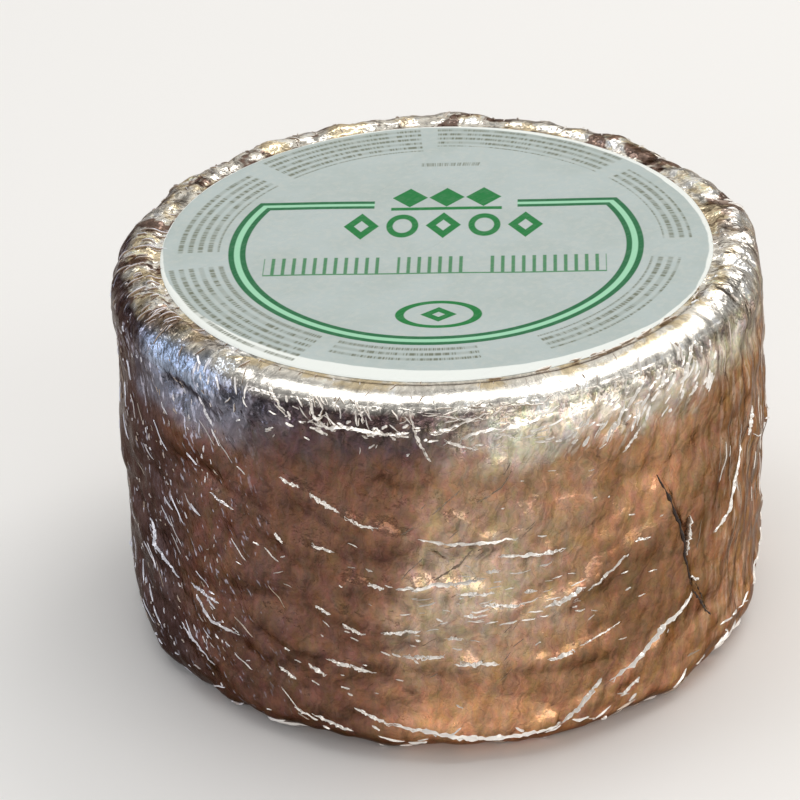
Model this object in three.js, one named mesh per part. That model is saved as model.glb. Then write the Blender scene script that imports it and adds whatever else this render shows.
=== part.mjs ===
// A whole wheel of blue cheese, wrapped shut in foil, with a round paper label lying on its top.
//
// Millimetres, +Z up. The origin is the middle of the base. Angles round the wheel are in degrees,
// from the front (-Y) towards the right (+X).
import * as THREE from "three";

// Driving dimensions of the wheel
const WHEEL_RADIUS = 93;
const RIM_HEIGHT = 115; // the highest line of the rolled rim
const TOP_EDGE_RADIUS = 10;
const BASE_EDGE_RADIUS = 11;
const SIDE_BELLY = 0.6; // how far the side's middle stands out past its two ends
const DISH_DEPTH = 1.2; // how far the top lies below its rolled rim
const DISH_RADIUS = 80.5; // where the flat of the top ends and the rim begins

// The mesh: columns round the wheel, and rows up its section
const COLUMNS = 132;
const SIDE_ROWS = 22;
const EDGE_STEPS = 4;

// The label
const LABEL_RADIUS = 79.5;
const LABEL_THICKNESS = 0.4;
const LABEL_GAP = 0.3; // between the label and the foil under it
const LABEL_UNEVENNESS = 0.35; // how far its edge wanders in and out
const LABEL_SIDES = 96;

// The foil's relief
const FOLD_LIFT = 0.9; // height of a fold's ridge
const FOLD_WIDTH = 3.2; // from a fold's ridge to where it has mostly died away
const FOLD_FADE = 0.16; // share of a fold's length over which each end dies away
const LUMP_DEPTH = 0.5; // the soft unevenness of the cheese under the foil
const PLEAT_DEPTH = 0.55; // the gathers where the foil is drawn in over an edge
const TOP_PLEATS = 44;
const BASE_PLEATS = 36;
const PLEAT_REACH = 20; // how far a pleat runs down the side from the rim, or up from the base

// Folds that drape across the front: [angle, height] of each end, and how far the middle hangs down
const FRONT_FOLDS = [
  { from: [-31, 88.5], to: [12.5, 71.5], sag: 4.5 },
  { from: [-47, 76.5], to: [-20, 66], sag: 0 },
  { from: [7, 66], to: [19, 65.5], sag: 0 },
  { from: [-20, 57], to: [7.5, 56], sag: -1.5 },
  { from: [0.5, 52], to: [31, 56], sag: 5 },
  { from: [-22, 48.5], to: [-4, 43.5], sag: 0 },
  { from: [-31, 33.5], to: [31, 29.5], sag: -1 },
  { from: [-20, 20.5], to: [48, 34], sag: 18 },
  { from: [-67.5, 49], to: [-43, 32.5], sag: 2 },
  { from: [-55, 23.5], to: [-43, 15.5], sag: 0 },
];

// The same kind of folds carry on round the back, spread evenly by a rule
const BACK_FOLDS = { count: 14, first: 66, last: 262, low: 20, high: 88, length: 34, drop: 9, sag: 5 };

// The loose edge where the foil sheet laps over itself, from its top end to its foot
const SEAM = { top: [39, 80], foot: [54.5, 18.5], depth: 1.3, reach: 9, lip: 0.4, fade: 6 };

// Shallow dents in the side: the middle, half the width and height in millimetres, and the depth
const DENTS = [
  { angle: -52, height: 101, wide: 13, high: 8, depth: 1.4 },
  { angle: 24, height: 92, wide: 16, high: 9, depth: 0.8 },
  { angle: 128, height: 70, wide: 20, high: 13, depth: 1.0 },
  { angle: 207, height: 40, wide: 17, high: 12, depth: 0.9 },
];

const GOLDEN = (Math.sqrt(5) - 1) / 2;
const radians = THREE.MathUtils.degToRad;
const millimetresPerDegree = radians(WHEEL_RADIUS);

/** The signed difference of two angles, from -180 to 180 degrees. */
function angleFrom(angle, start) {
  return THREE.MathUtils.euclideanModulo(angle - start + 180, 360) - 180;
}

/** Rises from 0 to 1 over the given share of a 0 to 1 stretch, and falls back to 0 at its far end. */
function fadedEnds(share, fade) {
  return THREE.MathUtils.smoothstep(share, 0, fade) * THREE.MathUtils.smoothstep(1 - share, 0, fade);
}

/** The folds of the back: each starts a golden share of the way round and of the height. */
function backFolds() {
  const { count, first, last, low, high, length, drop, sag } = BACK_FOLDS;
  return Array.from({ length: count }, (_, i) => {
    const angle = first + ((last - first) * (i + 0.5)) / count - length / 2;
    const height = low + (high - low) * ((i * GOLDEN) % 1);
    const way = i % 2 ? 1 : -1;
    return { from: [angle, height + (way * drop) / 2], to: [angle + length, height - (way * drop) / 2], sag };
  });
}

const FOLDS = [...FRONT_FOLDS, ...backFolds()];

/** A ridge along each fold's line, which is straight between its ends apart from its sag. */
function foldRelief(angle, height) {
  let lift = 0;
  for (const { from, to, sag } of FOLDS) {
    const share = angleFrom(angle, from[0]) / (to[0] - from[0]);
    if (share <= 0 || share >= 1) continue;
    const line = THREE.MathUtils.lerp(from[1], to[1], share) - sag * 4 * share * (1 - share);
    const away = (height - line) / FOLD_WIDTH;
    lift = Math.max(lift, FOLD_LIFT * Math.exp(-away * away) * fadedEnds(share, FOLD_FADE));
  }
  return lift;
}

/** The lapped edge: a low lip on its left, then a sharp drop that the foil recovers from slowly. */
function seamRelief(angle, height) {
  const down = (SEAM.top[1] - height) / (SEAM.top[1] - SEAM.foot[1]);
  const edge = THREE.MathUtils.lerp(SEAM.top[0], SEAM.foot[0], down);
  const across = angleFrom(angle, edge) * millimetresPerDegree;
  const fade = fadedEnds(down, SEAM.fade / (SEAM.top[1] - SEAM.foot[1]));
  const step = across < 0 ? SEAM.lip : -SEAM.depth;
  return step * fade * Math.exp(-Math.abs(across) / SEAM.reach);
}

/** Round hollows that are deepest in their middle. */
function dentRelief(angle, height) {
  let lift = 0;
  for (const { angle: middle, height: level, wide, high, depth } of DENTS) {
    const x = (angleFrom(angle, middle) * millimetresPerDegree) / wide;
    const z = (height - level) / high;
    lift -= depth * Math.exp(-x * x - z * z);
  }
  return lift;
}

/** Low, wide lumps: a few waves of different lengths round the wheel and up it. */
function lumpRelief(angle, height) {
  const a = radians(angle);
  const z = height / RIM_HEIGHT;
  return (LUMP_DEPTH / 2) * (Math.sin(3 * a + 4 * z) + Math.sin(7 * a - 5 * z + 1) * Math.sin(6 * z + 2 * a));
}

/** Uneven gathers, strongest on the two rounded edges and dying away along the side. */
function pleatRelief(angle, height) {
  const gather = (count, shift) => {
    const a = radians(angle);
    return Math.sin(count * a + 2.2 * Math.sin(5 * a + shift) + 1.3 * Math.sin(11 * a + 2 * shift));
  };
  const nearTop = Math.max(0, 1 - (RIM_HEIGHT - height) / PLEAT_REACH);
  const nearBase = Math.max(0, 1 - height / PLEAT_REACH);
  return PLEAT_DEPTH * (nearTop * gather(TOP_PLEATS, 0.7) + nearBase * gather(BASE_PLEATS, 2.1));
}

/** How far the foil stands out from the plain section at this angle and height. */
function foilRelief(angle, height) {
  return (
    foldRelief(angle, height) +
    seamRelief(angle, height) +
    dentRelief(angle, height) +
    lumpRelief(angle, height) +
    pleatRelief(angle, height)
  );
}

/** One row of the wheel's section. facing is 0 where the surface looks out and 90 where it looks up. */
function sectionRow(radius, height, facing, relief) {
  return { radius, height, facing: radians(facing), relief };
}

/** The section from the middle of the base, out and up round the side, to the middle of the top. */
function wheelSection() {
  const rows = [sectionRow(0, 0, -90, 0)];
  for (let i = 0; i <= EDGE_STEPS; i++) {
    const turn = -90 + (90 * i) / EDGE_STEPS;
    const radius = WHEEL_RADIUS - BASE_EDGE_RADIUS * (1 - Math.cos(radians(turn)));
    const height = BASE_EDGE_RADIUS * (1 + Math.sin(radians(turn)));
    rows.push(sectionRow(radius, height, turn, i / EDGE_STEPS));
  }
  const straight = RIM_HEIGHT - TOP_EDGE_RADIUS - BASE_EDGE_RADIUS;
  for (let i = 1; i < SIDE_ROWS; i++) {
    const share = i / SIDE_ROWS;
    const belly = SIDE_BELLY * Math.sin(Math.PI * share);
    rows.push(sectionRow(WHEEL_RADIUS + belly, BASE_EDGE_RADIUS + straight * share, 0, 1));
  }
  for (let i = 0; i <= EDGE_STEPS; i++) {
    const turn = (90 * i) / EDGE_STEPS;
    const radius = WHEEL_RADIUS - TOP_EDGE_RADIUS * (1 - Math.cos(radians(turn)));
    const height = RIM_HEIGHT - TOP_EDGE_RADIUS * (1 - Math.sin(radians(turn)));
    rows.push(sectionRow(radius, height, turn, 1 - (0.6 * i) / EDGE_STEPS));
  }
  rows.push(sectionRow(DISH_RADIUS, RIM_HEIGHT - DISH_DEPTH, 90, 0));
  rows.push(sectionRow(0, RIM_HEIGHT - DISH_DEPTH, 90, 0));
  return rows;
}

/** The wheel: its section turned round, then pushed in and out along its own facing by the relief. */
function foilWrappedWheel() {
  const rows = wheelSection();
  const outline = rows.map(({ radius, height }) => new THREE.Vector2(radius, height));
  const geometry = new THREE.LatheGeometry(outline, COLUMNS);
  const places = geometry.attributes.position;
  for (let k = 0; k < places.count; k++) {
    const { radius, height, facing, relief } = rows[k % rows.length];
    const angle = (360 * (Math.floor(k / rows.length) % COLUMNS)) / COLUMNS;
    const lift = relief ? relief * foilRelief(angle, height) : 0;
    const out = radius + lift * Math.cos(facing);
    const a = radians(angle);
    places.setXYZ(k, out * Math.sin(a), -out * Math.cos(a), height + lift * Math.sin(facing));
  }
  const foil = new THREE.MeshStandardMaterial({ color: 0xa58a6c, roughness: 0.28, metalness: 1 });
  const wheel = new THREE.Mesh(geometry, foil);
  wheel.name = "foil_wrapped_wheel";
  return wheel;
}

/** The label: a thin disc of paper whose edge wanders a little, clear of the foil that it lies on. */
function roundLabel() {
  const outline = new THREE.Shape();
  for (let i = 0; i < LABEL_SIDES; i++) {
    const a = (2 * Math.PI * i) / LABEL_SIDES;
    const wander = Math.sin(2 * a + 1) + 0.6 * Math.sin(5 * a) + 0.4 * Math.sin(9 * a + 2);
    const radius = LABEL_RADIUS + (LABEL_UNEVENNESS / 2) * wander;
    outline[i ? "lineTo" : "moveTo"](radius * Math.sin(a), -radius * Math.cos(a));
  }
  outline.closePath();
  const geometry = new THREE.ExtrudeGeometry(outline, { depth: LABEL_THICKNESS, bevelEnabled: false });
  const paper = new THREE.MeshStandardMaterial({ color: 0xb6c0be, roughness: 0.55, metalness: 0 });
  const label = new THREE.Mesh(geometry, paper);
  label.name = "round_label";
  label.position.z = RIM_HEIGHT - DISH_DEPTH + LABEL_GAP;
  return label;
}

const wrappedCheese = new THREE.Group();
wrappedCheese.add(foilWrappedWheel(), roundLabel());

export default wrappedCheese;
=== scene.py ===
"""A whole wheel of blue cheese wrapped in creased foil, with a round paper label on its top.

Lengths inside the surface functions are in millimetres, and angles round the wheel are in degrees from
the front (-Y) towards the right (+X). level is the way up the unrolled foil: it equals the height on the
straight side, and carries on over the rounded edges by the length of their arcs.
"""

import math
from functools import partialmethod
from typing import NamedTuple

import bpy
import numpy as np
from bpy.props import FloatProperty, FloatVectorProperty, PointerProperty
from mathutils import Matrix, Vector


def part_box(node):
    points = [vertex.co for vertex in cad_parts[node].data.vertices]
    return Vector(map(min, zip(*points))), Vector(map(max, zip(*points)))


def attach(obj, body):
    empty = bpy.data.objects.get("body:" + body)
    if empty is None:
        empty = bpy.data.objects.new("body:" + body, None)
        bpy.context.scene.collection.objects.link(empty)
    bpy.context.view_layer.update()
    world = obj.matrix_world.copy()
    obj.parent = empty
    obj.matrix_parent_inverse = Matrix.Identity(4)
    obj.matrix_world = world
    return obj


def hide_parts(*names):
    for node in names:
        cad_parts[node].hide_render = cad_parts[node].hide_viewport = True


bl_info = {
    "name": "Foil-Wrapped Cheese Wheel",
    "version": (1, 0, 0),
    "blender": (4, 5, 0),
    "location": "View3D > Sidebar > Cheese Wheel",
    "description": "Builds a foil-wrapped wheel of cheese with a round label, and a plain stage for it",
    "category": "Add Mesh",
}

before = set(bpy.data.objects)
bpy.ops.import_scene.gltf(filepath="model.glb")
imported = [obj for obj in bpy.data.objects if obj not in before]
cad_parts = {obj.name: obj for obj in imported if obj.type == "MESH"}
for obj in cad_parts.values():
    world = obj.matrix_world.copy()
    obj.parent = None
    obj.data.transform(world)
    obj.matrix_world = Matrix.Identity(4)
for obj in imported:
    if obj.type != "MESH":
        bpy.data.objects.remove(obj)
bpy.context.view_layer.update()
MM = 0.001

# The label's box in the frame, and the wheel's section, in millimetres
LABEL_LOW, LABEL_HIGH = (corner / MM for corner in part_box("round_label"))
LABEL_RADIUS = (LABEL_HIGH.x - LABEL_LOW.x) / 2
RIM_HEIGHT = 115.0
WHEEL_RADIUS = 93.0
TOP_EDGE = 10.0
BASE_EDGE = 11.0
SIDE_BELLY = 0.6
DISH_RADIUS = 80.5
DISH_HEIGHT = LABEL_LOW.z - 0.02  # the foil under the label touches the paper
STRAIGHT_TOP = RIM_HEIGHT - TOP_EDGE
QUARTER = math.pi / 2
RIM_LEVEL = STRAIGHT_TOP + TOP_EDGE * QUARTER
PER_DEGREE = math.radians(WHEEL_RADIUS)

# The foil's grid: columns round the wheel, and rows up its side, its edges and its top ring
COLUMNS = 480
SIDE_ROWS = 150
BASE_ROWS = 13
EDGE_ROWS = 21
RING_ROWS = 10
FRONT_BIAS = 0.25  # by what share the columns are closer together at the front
BASE_INNER = 12.0  # the innermost ring of the base, round its middle point
RING_INNER = 77.0  # where the close rings of the top end, under the label
TOP_INNER = 40.0

# The label: its grid, the rounding of its edge, and its waves. Insets are in from its edge.
LABEL_COLUMNS, LABEL_ROWS, UNDER_ROWS = 480, 46, 8
LABEL_UNEVENNESS = 0.35  # how far its edge wanders in and out
THIN_EDGE = 0.12  # the paper's thickness at its very edge
EDGE_ROUND = 0.8
EDGE_INSETS = (0, 0.2, 0.45, 0.8, 1.4)
INNER_INSET = 3.0
PAPER_WAVE = 0.10

# Folds that drape across the front: the angle and height of each end, and how far the middle hangs down
FRONT_FOLDS = (
    ((-31, 88.5), (12.5, 71.5), 4.5),
    ((-47, 76.5), (-20, 66), 0),
    ((7, 66), (19, 65.5), 0),
    ((-20, 57), (7.5, 56), -1.5),
    ((0.5, 52), (31, 56), 5),
    ((-22, 48.5), (-4, 43.5), 0),
    ((-31, 33.5), (31, 29.5), -1),
    ((-20, 20.5), (48, 34), 18),
    ((-67.5, 49), (-43, 32.5), 2),
    ((-55, 23.5), (-43, 15.5), 0),
)
FOLD = dict(above=2.6, below=4.0, fade=0.12, swell=18)
BACK_FOLDS = dict(count=14, first=66, last=262, low=20, high=88, length=34, drop=9, sag=5)
SEAM = dict(top=80, foot=18.5, depth=1.3, reach=9, lip=0.4, fade=6, step=2.4, behind_slit=0.7)
DENTS = (
    (-52, 101, 13, 8, 1.4),
    (24, 92, 16, 9, 0.8),
    (128, 70, 20, 13, 1.0),
    (207, 40, 17, 12, 0.9),
)
TOP_PLEATS, BASE_PLEATS, PLEAT_REACH = 44, 36, 20
GOLDEN = (math.sqrt(5) - 1) / 2
FOIL_SEED, CREASE_SEED = 41, 23


class Crumple(NamedTuple):
    """Waves that crumple a zone of the foil: how steep against the other zones, the least and the most
    length, which way they turn in degrees and how far they stray from that, and how many are summed."""

    steep: float
    lengths: tuple
    turn: float
    spread: float
    count: int


CRUMPLES = dict(
    broad=Crumple(1, (16, 46), 0, 65, 12),
    fine=Crumple(1, (6, 13), 0, 80, 10),
    right=Crumple(1.7, (4, 10), 80, 16, 9),
    rim=Crumple(1.6, (4, 9), 90, 20, 6),
    back=Crumple(3.5, (10, 24), 0, 75, 8),
)

# Crease tones: the brighter ones carry painted highlights, the dim ones painted shade, and the dark ones
# the slit's painted shadow
DARK, DIM, PLAIN, PALE, WHITE = 0.0, 0.28, 0.4, 0.7, 1.0  # tones of the sharp creases
CREASE_HEIGHT = 0.7  # of a white crease, as a share of its width
DARK_HEIGHT = 0.35  # of a dark crease, as a share of a white one's height
CREASE_SINK = 0.25  # how far a crease's foot reaches under the foil


class Band(NamedTuple):
    """A band of sharp creases: how many, where, how long and wide, and which way they run.

    turn is how far they rise to the right, in degrees from level, and spread is how far they stray
    from that. half is half the length. Each pair is the least and the most.
    """

    count: int
    angles: tuple
    levels: tuple
    half: tuple
    wide: tuple
    turn: float
    spread: float
    tone: tuple = (PALE, WHITE)


BANDS = (
    # The front, under the rim: steep ones on the left, level ones on the right
    Band(34, (-48, -5), (107, 114), (0.8, 3), (0.5, 1), -58, 26),
    Band(30, (-40, -5), (99, 110), (0.5, 1.8), (0.5, 0.9), 20, 70),
    Band(26, (-27, 1), (104, 108.5), (0.6, 1.6), (0.7, 1.4), -5, 45),
    Band(60, (-2, 36), (99, 113.5), (0.8, 3.2), (0.45, 1), 14, 25),
    Band(70, (20, 54), (96, 114), (0.8, 3.2), (0.5, 1.2), 56, 16),
    # The right: long upright ones
    Band(46, (46, 100), (40, 114), (2, 8), (0.25, 0.6), 84, 8, (DIM, PALE)),
    Band(22, (48, 100), (34, 110), (2, 7), (0.3, 0.6), 84, 9, (DIM, DIM)),
    # The left: bright specks, and a few long fine ones that fall to the right
    Band(150, (-82, -42), (8, 112), (0.4, 1.4), (0.3, 0.7), -60, 38, (PLAIN, PALE)),
    Band(34, (-106, -82), (8, 112), (0.8, 3), (0.3, 0.8), -50, 38, (PLAIN, WHITE)),
    Band(44, (-82, -28), (14, 96), (2, 6), (0.35, 0.65), -42, 12, (PLAIN, WHITE)),
    # The rest of the front: sparse short ones
    Band(46, (-46, 46), (16, 96), (0.5, 2), (0.35, 0.7), 0, 30, (PLAIN, WHITE)),
    Band(24, (-34, 2), (14, 76), (0.6, 1.8), (0.5, 0.9), -25, 16),
    Band(34, (-8, 24), (42, 62), (0.8, 3.4), (0.35, 0.75), 4, 12),
    Band(18, (-8, 17), (24, 95), (1, 3.5), (0.35, 0.7), 46, 14, (DIM, DIM)),
    # Both edges all the way round
    Band(170, (-180, 180), (-9, 13), (1, 5), (0.5, 1.1), 5, 45, (PLAIN, WHITE)),
    Band(150, (-180, 180), (112, 125), (0.6, 2.4), (0.4, 0.9), 90, 38, (PLAIN, WHITE)),
    Band(34, (-104, -56), (114, 124), (1.2, 4), (0.6, 1), 90, 14),
    # The front of the label's edge, where foil laps over it
    Band(20, (6, 74), (123.2, 124.6), (1.5, 5), (0.6, 1.1), 0, 8),
    # The back
    Band(260, (100, 256), (8, 112), (0.8, 5), (0.4, 1), 0, 50, (PLAIN, WHITE)),
    Band(90, (100, 256), (96, 113), (1, 4), (0.5, 1), 60, 60),
)

# Creases along the folds of the back: how far apart, and how far each strays from the fold's way
BACK_CREASES = dict(spacing=7.5, stray=7, half=(1.2, 5.8), wide=(0.5, 1.15))

# The open edge of the foil sheet on the right: the angle and level of each bend, from its top down
SLIT = ((39, 79), (41, 72), (43, 63), (45, 55), (45.5, 47), (47, 36), (53.5, 21))

# The strands of a long crease: how far each wavers, and its width, in shares of the crease's width
BRIGHT_STRANDS = ((0.16, 0.78), (0.42, 0.52))
DARK_STRANDS = ((0.10, 1.0),)

# Long creases: width and tone, then the angle and level of each bend, from left to right
STROKES = (
    # A string of knots under the rim, with steep ones that come down to it
    (1.7, WHITE, (-23, 107), (-20, 106), (-16, 106.5), (-13, 106), (-9, 106), (-5, 105)),
    (1.2, WHITE, (-32, 115), (-29, 111), (-27, 108)),
    (1.2, WHITE, (-23.5, 114), (-21.5, 108), (-19, 105)),
    (1.2, WHITE, (-16, 115), (-14, 112), (-13, 108)),
    (1.2, PALE, (-5.5, 113), (-4.5, 106), (-2, 97)),
    # Long ones under the rim, right of the middle
    (0.9, WHITE, (-3.5, 111), (1, 110.5), (4.5, 109), (8, 109)),
    (1.5, WHITE, (-2.5, 106), (0, 106), (2.5, 108), (8.5, 111)),
    (1.4, WHITE, (2, 102), (4.5, 105), (8, 106), (12, 106), (15.5, 107), (20.5, 110)),
    (1, WHITE, (0, 104), (2.5, 102), (6, 100)),
    (0.9, WHITE, (8, 105.5), (13, 102)),
    (0.9, WHITE, (3, 113.5), (8.5, 112), (9.5, 110)),
    (1.1, WHITE, (10, 112.5), (17.5, 111)),
    # Slanted ones on the right
    (1.1, WHITE, (37, 106), (41.5, 111)),
    (1.1, WHITE, (38.5, 105), (43, 108)),
    (1, WHITE, (28.5, 107), (30.5, 111)),
    (1, PALE, (31.5, 90), (33.5, 93), (35.5, 96)),
    (1, WHITE, (45, 105), (47, 109), (50.5, 113)),
    (0.9, WHITE, (47, 98), (48.5, 101)),
    (1.2, WHITE, (54, 48), (57.5, 50), (60.5, 55), (63, 62), (64, 70)),
    (1.3, WHITE, (68, 68), (69.5, 77)),
    # The draped folds of the front
    (1, WHITE, (-28.5, 88), (-26.5, 87), (-24.5, 86)),
    (1.3, WHITE, (-23, 85), (-20, 82), (-17.5, 80)),
    (1, PALE, (-17, 79.5), (-14, 77), (-11, 76.5)),
    (1.2, WHITE, (-5, 74), (0, 72), (5.5, 72), (12.5, 72)),
    (1.4, WHITE, (8, 67), (12.5, 66), (21, 65)),
    (1, WHITE, (6.5, 62), (9, 62)),
    (1.1, WHITE, (-29.5, 70), (-28, 68)),
    (1, WHITE, (-23, 69), (-19, 67)),
    (1.4, WHITE, (-9, 57.5), (-2, 59), (3, 59), (7, 60)),
    (1.2, WHITE, (-13.5, 58), (-10.5, 57.5)),
    (1.2, WHITE, (1, 56), (8, 55)),
    (1.2, WHITE, (5, 52), (13, 50)),
    (1.6, WHITE, (16, 48), (19.5, 49), (22, 51), (24, 52)),
    (1, PALE, (24, 50), (28.5, 54), (32.5, 58)),
    (1.1, WHITE, (2.5, 49), (5.5, 48.5)),
    (1.1, WHITE, (13, 54), (15, 53.5)),
    (0.8, WHITE, (33.5, 61), (37, 60.5)),
    (1.1, WHITE, (-23, 49), (-20, 47)),
    (1.1, WHITE, (-18, 45), (-15.5, 42), (-14, 42)),
    (1.2, WHITE, (-11.5, 43), (-4.5, 44)),
    (1.1, WHITE, (-0.5, 41), (2.5, 41)),
    (1.2, WHITE, (-21.5, 32), (-18, 31), (-12.5, 29)),
    (1.4, PALE, (-25, 29), (-21.5, 26)),
    (1.3, WHITE, (-8, 35), (-0.5, 35)),
    (1.5, WHITE, (0.5, 33), (8.5, 32)),
    (1.3, WHITE, (16.5, 31), (21.5, 33)),
    (0.7, PALE, (22, 33.5), (31, 36)),
    (1.1, WHITE, (-31, 25), (-27.5, 22)),
    # Down the left
    (1.1, WHITE, (-65, 51), (-62, 44), (-55, 38)),
    (1, PALE, (-51, 40), (-43, 39)),
    (1.2, PALE, (-49.5, 38), (-44.5, 32), (-38.5, 31)),
    (0.8, PALE, (-55, 24), (-45.5, 16)),
    (0.8, PALE, (-44, 75), (-38, 73)),
    (1, PALE, (-46, 104), (-44.5, 100), (-42.5, 96)),
    # The lip beside the slit, and the crease that runs from the slit's foot to the base
    (2.4, WHITE, (46.9, 60), (46.9, 53), (46.4, 47)),
    (1.3, WHITE, (48, 38.5), (49.7, 36.5)),
    (1.5, WHITE, (28, 17.5), (36, 23.5), (40.5, 28), (45.5, 31), (47.3, 36)),
    (1.3, WHITE, (31, 11), (35, 15)),
    # Along the base's edge
    (1.7, WHITE, (-11, 12), (-7.5, 11), (-1, 9.5), (6.5, 7), (12, 7), (19.5, 8)),
    (1.5, WHITE, (19, 7.5), (22.5, 12), (25.5, 17), (27, 20)),
    (1.2, WHITE, (-25, 12), (-22, 10), (-17.5, 8)),
    (1.2, WHITE, (-17, 17), (-12.5, 13), (-10, 12)),
    (1, WHITE, (-28.5, 12), (-25.5, 11)),
    # Dark creases of painted shade, and the slit itself, a dark ridge of painted shadow
    (0.6, DIM, (-3, 80), (3, 89)),
    (0.7, DIM, (5, 84), (9.5, 88), (11.5, 93)),
    (1, DIM, (-2.5, 60), (2, 64), (4.5, 70)),
    (0.6, DIM, (-8, 60), (-3.5, 68)),
    (0.5, DIM, (12.5, 72), (15.5, 76)),
    (1.9, DARK, *SLIT[:-1]),
    (1.3, DARK, *SLIT[-2:]),
    (0.8, DARK, (49, 36), (53, 23)),
)


# ---------- surfaces


def angle_from(angle, start):
    """The signed difference of two angles, from -180 to 180 degrees."""
    return (angle - start + 180) % 360 - 180


def smooth(share):
    """Rises from 0 to 1 as share does, level at both ends: 3 s^2 - 2 s^3."""
    share = np.clip(share, 0, 1)
    return share * share * (3 - 2 * share)


def faded_ends(share, fade):
    """1 in the middle of a 0 to 1 stretch, and down to 0 over the given share at each end."""
    return smooth(share / fade) * smooth((1 - share) / fade)


def window(value, low, high, soft):
    """1 between low and high, and down to 0 over the distance soft outside each."""
    return smooth((value - low + soft) / soft) * smooth((high + soft - value) / soft)


def waves(x, random, longest, count=5):
    """Smooth noise of about -1 to 1: a sum of sines, each shorter than the last by a fifth to a half."""
    total = np.zeros_like(x)
    length = longest
    for _ in range(count):
        total += np.sin(2 * math.pi * x / length + random.uniform(0, 2 * math.pi))
        length *= random.uniform(0.5, 0.8)
    return total / math.sqrt(count)


def add_piece(name, points, faces, material):
    """A smooth-shaded mesh object from points in millimetres, riding on the body."""
    mesh = bpy.data.meshes.new(name)
    mesh.from_pydata(points * MM, [], faces)
    mesh.shade_smooth()
    mesh.materials.append(material)
    piece = bpy.data.objects.new(name, mesh)
    bpy.context.scene.collection.objects.link(piece)
    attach(piece, "root")
    return piece


def add_values(piece, name, values):
    """Gives a piece's mesh a number at each point."""
    layer = piece.data.attributes.new(name, "FLOAT", "POINT")
    layer.data.foreach_set("value", values.astype(np.float32).ravel())


def closed_faces(rows, columns):
    """The faces of a closed surface: a point, rows of columns, and a point, in that order."""
    here = np.arange(columns)
    after = (here + 1) % columns
    low = 1 + columns * np.arange(rows - 1)[:, None]
    quads = np.stack([low + here, low + after, low + columns + after, low + columns + here], -1)
    last = 1 + columns * (rows - 1)
    foot = np.stack([np.zeros_like(here), 1 + after, 1 + here], -1)
    head = np.stack([np.full_like(here, last + columns), last + here, last + after], -1)
    return quads.reshape(-1, 4).tolist() + foot.tolist() + head.tolist()


def closed_points(rings):
    """The points that closed_faces joins, from rings whose first and last have shrunk to a point. Rings
    of many surfaces at once have those as their first axis."""
    inner = rings[..., 1:-1, :, :].reshape(*rings.shape[:-3], -1, rings.shape[-1])
    return np.concatenate([rings[..., 0, :1, :], inner, rings[..., -1, :1, :]], -2)


def cylinder(angle, radius, height):
    """Points from an angle, a radius and a height: x is radius sin angle, and y is -radius cos angle."""
    a = np.radians(angle)
    return np.stack([radius * np.sin(a), -radius * np.cos(a), height * np.ones_like(a)], -1)


def column_angles():
    """Angles of the columns, from the back round to the back: even steps, less a sine that draws them
    together at the front."""
    share = np.arange(COLUMNS) / COLUMNS - 0.5
    return 360 * share - FRONT_BIAS * 360 / (2 * math.pi) * np.sin(2 * math.pi * share)


def wheel_section():
    """The section as columns of radius, height, facing and level, from the base's middle to the top's.

    A flat disc, a quarter circle out, a side whose belly is half a sine, a quarter circle in, a smooth
    step down into the dish, and the dish's flat.
    """
    parts = []

    def add(radius, height, facing, level):
        parts.append(np.stack(np.broadcast_arrays(radius, height, facing, level), -1).astype(float))

    def add_quarter(edge, middle, start, end, rows):
        turn = np.linspace(start, end, rows)
        out = WHEEL_RADIUS - edge * (1 - np.cos(turn))
        add(out, middle + edge * np.sin(turn), turn, middle + edge * turn)

    base_flat = WHEEL_RADIUS - BASE_EDGE
    radius = np.append(0, np.linspace(BASE_INNER, base_flat, BASE_ROWS)[:-1])
    add(radius, 0, -QUARTER, BASE_EDGE * (1 - QUARTER) - (base_flat - radius))
    add_quarter(BASE_EDGE, BASE_EDGE, -QUARTER, 0, BASE_ROWS)
    share = np.linspace(0, 1, SIDE_ROWS)[1:-1]
    height = BASE_EDGE + (STRAIGHT_TOP - BASE_EDGE) * share
    add(WHEEL_RADIUS + SIDE_BELLY * np.sin(math.pi * share), height, 0, height)
    add_quarter(TOP_EDGE, STRAIGHT_TOP, 0, QUARTER, EDGE_ROWS)
    ring = WHEEL_RADIUS - TOP_EDGE
    radius = np.append(np.linspace(ring, RING_INNER, RING_ROWS)[1:], [TOP_INNER, 0])
    step = smooth((ring - radius) / (ring - DISH_RADIUS))
    add(radius, RIM_HEIGHT - (RIM_HEIGHT - DISH_HEIGHT) * step, QUARTER, RIM_LEVEL + ring - radius)
    return np.concatenate(parts).T


# ---------- the foil's relief


def back_folds():
    """The ends and sag of the back's folds, which start a golden share of the height apart."""
    b = BACK_FOLDS
    for i in range(b["count"]):
        angle = b["first"] + (b["last"] - b["first"]) * (i + 0.5) / b["count"] - b["length"] / 2
        height = b["low"] + (b["high"] - b["low"]) * (i * GOLDEN % 1)
        drop = b["drop"] / 2 * (1 if i % 2 else -1)
        yield (angle, height + drop), (angle + b["length"], height - drop), b["sag"]


def fold_line(start, end, sag, share):
    """The level of a fold's line at a share of its length: straight between its ends, less its sag."""
    return start[1] + (end[1] - start[1]) * share - sag * 4 * share * (1 - share)


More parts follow.
